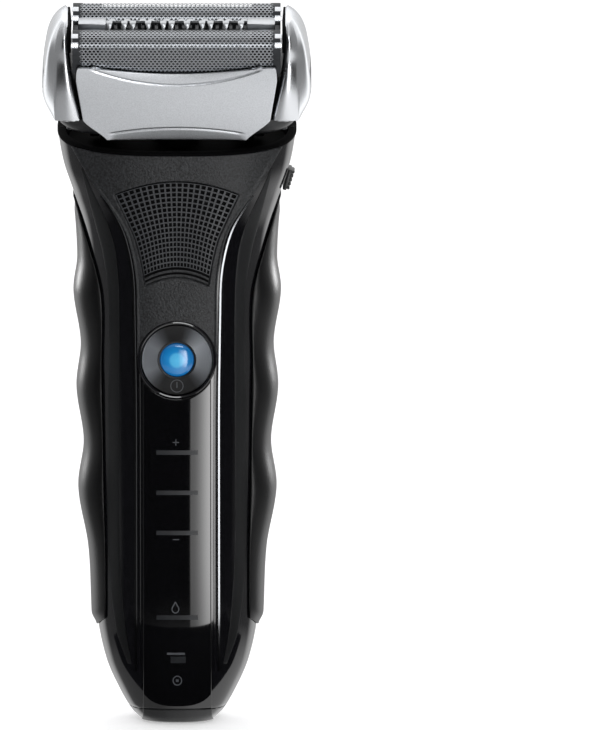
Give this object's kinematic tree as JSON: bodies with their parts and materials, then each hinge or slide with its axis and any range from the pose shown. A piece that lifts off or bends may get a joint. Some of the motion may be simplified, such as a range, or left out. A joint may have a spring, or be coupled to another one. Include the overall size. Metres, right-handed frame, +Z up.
{
  "type": "electric shaver",
  "caption": "Cordless foil shaver with a tilting sprung shaving head, lift-off foil cassette, power button, rubber grips and pop-up hair trimmer.",
  "frame": {"origin": "middle of the power inlet's mouth in the flat foot", "axes": "+Z up along the handle, -Y out of the front face with the button, +X to the right seen from the front"},
  "size_m": [0.0608, 0.0382, 0.1618],
  "materials": {
    "gloss_black": "piano-black moulded shell",
    "window_black": "polished window",
    "soft_black": "soft-touch overmould",
    "charcoal": "fine-grained charcoal panel",
    "dark_plastic": "satin black moulding",
    "button_black": "spun dark button face",
    "blue_lens": "translucent blue lens",
    "silver": "satin silver lacquer",
    "pad_grey": "ridged grey pad",
    "foil_steel": "perforated foil",
    "steel": "ground steel",
    "board_green": "solder mask",
    "chip_black": "moulded package",
    "cell_wrap": "shrink sleeve",
    "contact_gold": "plated contact",
    "frame_white": "natural moulding",
    "seal_grey": "moulded seal"
  },
  "bodies": {
    "handle": {"front_shell": "gloss_black", "rear_shell": "gloss_black", "case_seal": "seal_grey", "grip_left": "soft_black", "grip_right": "soft_black", "thumb_panel": "charcoal", "display_window": "window_black", "button_ring": "button_black", "end_cap": "gloss_black", "power_inlet": "dark_plastic", "inlet_pins": "contact_gold", "station_contacts": "contact_gold", "inner_frame": "frame_white", "circuit_board": "board_green", "board_parts": "chip_black", "tact_switch": "steel", "battery_cells": "cell_wrap", "battery_tabs": "steel", "motor_can": "steel", "guide_rods": "steel", "neck_plate": "dark_plastic", "drive_seal": "seal_grey", "pivot_pins": "steel", "pivot_springs": "steel", "case_screws": "steel", "trimmer_guide": "gloss_black"},
    "rotor": {"motor_shaft": "steel"},
    "bridge": {"drive_bridge": "frame_white", "drive_pin": "steel"},
    "button": {"power_button": "button_black", "button_lens": "blue_lens"},
    "lock": {"head_lock_switch": "dark_plastic"},
    "hair_trimmer": {"trimmer_slider": "gloss_black", "trimmer_comb": "steel"},
    "hair_blade": {"trimmer_blade": "steel"},
    "head": {"head_frame": "dark_plastic", "side_cap_left": "silver", "side_cap_right": "silver", "head_screws": "steel"},
    "release_left": {"release_button_left": "pad_grey"},
    "release_right": {"release_button_right": "pad_grey"},
    "carrier": {"cutter_carrier": "frame_white", "springs_front": "steel", "springs_rear": "steel"},
    "front_cutter": {"cutter_front": "steel"},
    "rear_cutter": {"cutter_rear": "steel"},
    "cassette": {"cassette_frame": "dark_plastic", "cassette_front_panel": "silver", "cassette_rear_panel": "silver"},
    "front_foil": {"foil_front": "foil_steel", "foil_holders_front": "dark_plastic"},
    "rear_foil": {"foil_rear": "foil_steel", "foil_holders_rear": "dark_plastic"},
    "middle_trimmer": {"middle_comb": "foil_steel"},
    "middle_cutter": {"middle_blade": "steel"}
  },
  "joints": [
    {"name": "motor_spin", "type": "hinge", "parent": "handle", "child": "rotor", "pos_m": [0, 0.0034, 0.1176], "axis": [0, 0, 1], "continuous": true},
    {"name": "drive_slide", "type": "slide", "parent": "handle", "child": "bridge", "axis": [1, 0, 0], "range_m": [-0.0012, 0.0012]},
    {"name": "power_press", "type": "slide", "parent": "handle", "child": "button", "axis": [0, 1, 0], "range_m": [0, 0.0008], "stiffness_N_per_m": 600, "springref_m": -0.0008},
    {"name": "head_lock_slide", "type": "slide", "parent": "handle", "child": "lock", "axis": [0.2967, 0, 0.955], "range_m": [0, 0.003]},
    {"name": "hair_trimmer_slide", "type": "slide", "parent": "handle", "child": "hair_trimmer", "axis": [0, 0, 1], "range_m": [0, 0.01]},
    {"name": "hair_blade_slide", "type": "slide", "parent": "hair_trimmer", "child": "hair_blade", "axis": [1, 0, 0], "range_m": [-0.0007, 0.0007]},
    {"name": "head_tilt", "type": "hinge", "parent": "handle", "child": "head", "pos_m": [0, 0, 0.134], "axis": [1, 0, 0], "range_deg": [-12, 12], "stiffness_Nm_per_rad": 0.15},
    {"name": "release_left_press", "type": "slide", "parent": "head", "child": "release_left", "axis": [1, 0, 0], "range_m": [0, 0.0012], "stiffness_N_per_m": 600, "springref_m": -0.0008},
    {"name": "release_right_press", "type": "slide", "parent": "head", "child": "release_right", "axis": [-1, 0, 0], "range_m": [0, 0.0012], "stiffness_N_per_m": 600, "springref_m": -0.0008},
    {"name": "cutter_slide", "type": "slide", "parent": "head", "child": "carrier", "axis": [1, 0, 0], "range_m": [-0.0013, 0.0013]},
    {"name": "front_cutter_float", "type": "slide", "parent": "carrier", "child": "front_cutter", "axis": [0, 0.342, -0.9397], "range_m": [0, 0.0016], "deforming": ["springs_front"]},
    {"name": "rear_cutter_float", "type": "slide", "parent": "carrier", "child": "rear_cutter", "axis": [0, 0.342, -0.9397], "range_m": [0, 0.0016], "deforming": ["springs_rear"]},
    {"name": "cassette_lift", "type": "slide", "parent": "head", "child": "cassette", "axis": [0, -0.342, 0.9397], "range_m": [0, 0.025]},
    {"name": "front_foil_float", "type": "slide", "parent": "cassette", "child": "front_foil", "axis": [0, 0.342, -0.9397], "range_m": [0, 0.0015], "stiffness_N_per_m": 600, "springref_m": -0.0008},
    {"name": "rear_foil_float", "type": "slide", "parent": "cassette", "child": "rear_foil", "axis": [0, 0.342, -0.9397], "range_m": [0, 0.0015], "stiffness_N_per_m": 600, "springref_m": -0.0008},
    {"name": "middle_float", "type": "slide", "parent": "cassette", "child": "middle_trimmer", "axis": [0, 0.342, -0.9397], "range_m": [0, 0.0015], "stiffness_N_per_m": 600, "springref_m": -0.0008},
    {"name": "middle_cutter_slide", "type": "slide", "parent": "middle_trimmer", "child": "middle_cutter", "axis": [1, 0, 0], "range_m": [-0.0013, 0.0013]}
  ],
  "couplings": [
    {"joint": "cutter_slide", "follows": "drive_slide", "ratio": 1},
    {"joint": "middle_cutter_slide", "follows": "drive_slide", "ratio": 1},
    {"joint": "hair_blade_slide", "follows": "drive_slide", "ratio": 0.5},
    {"joint": "front_cutter_float", "follows": "front_foil_float", "ratio": 1},
    {"joint": "rear_cutter_float", "follows": "rear_foil_float", "ratio": 1}
  ]
}
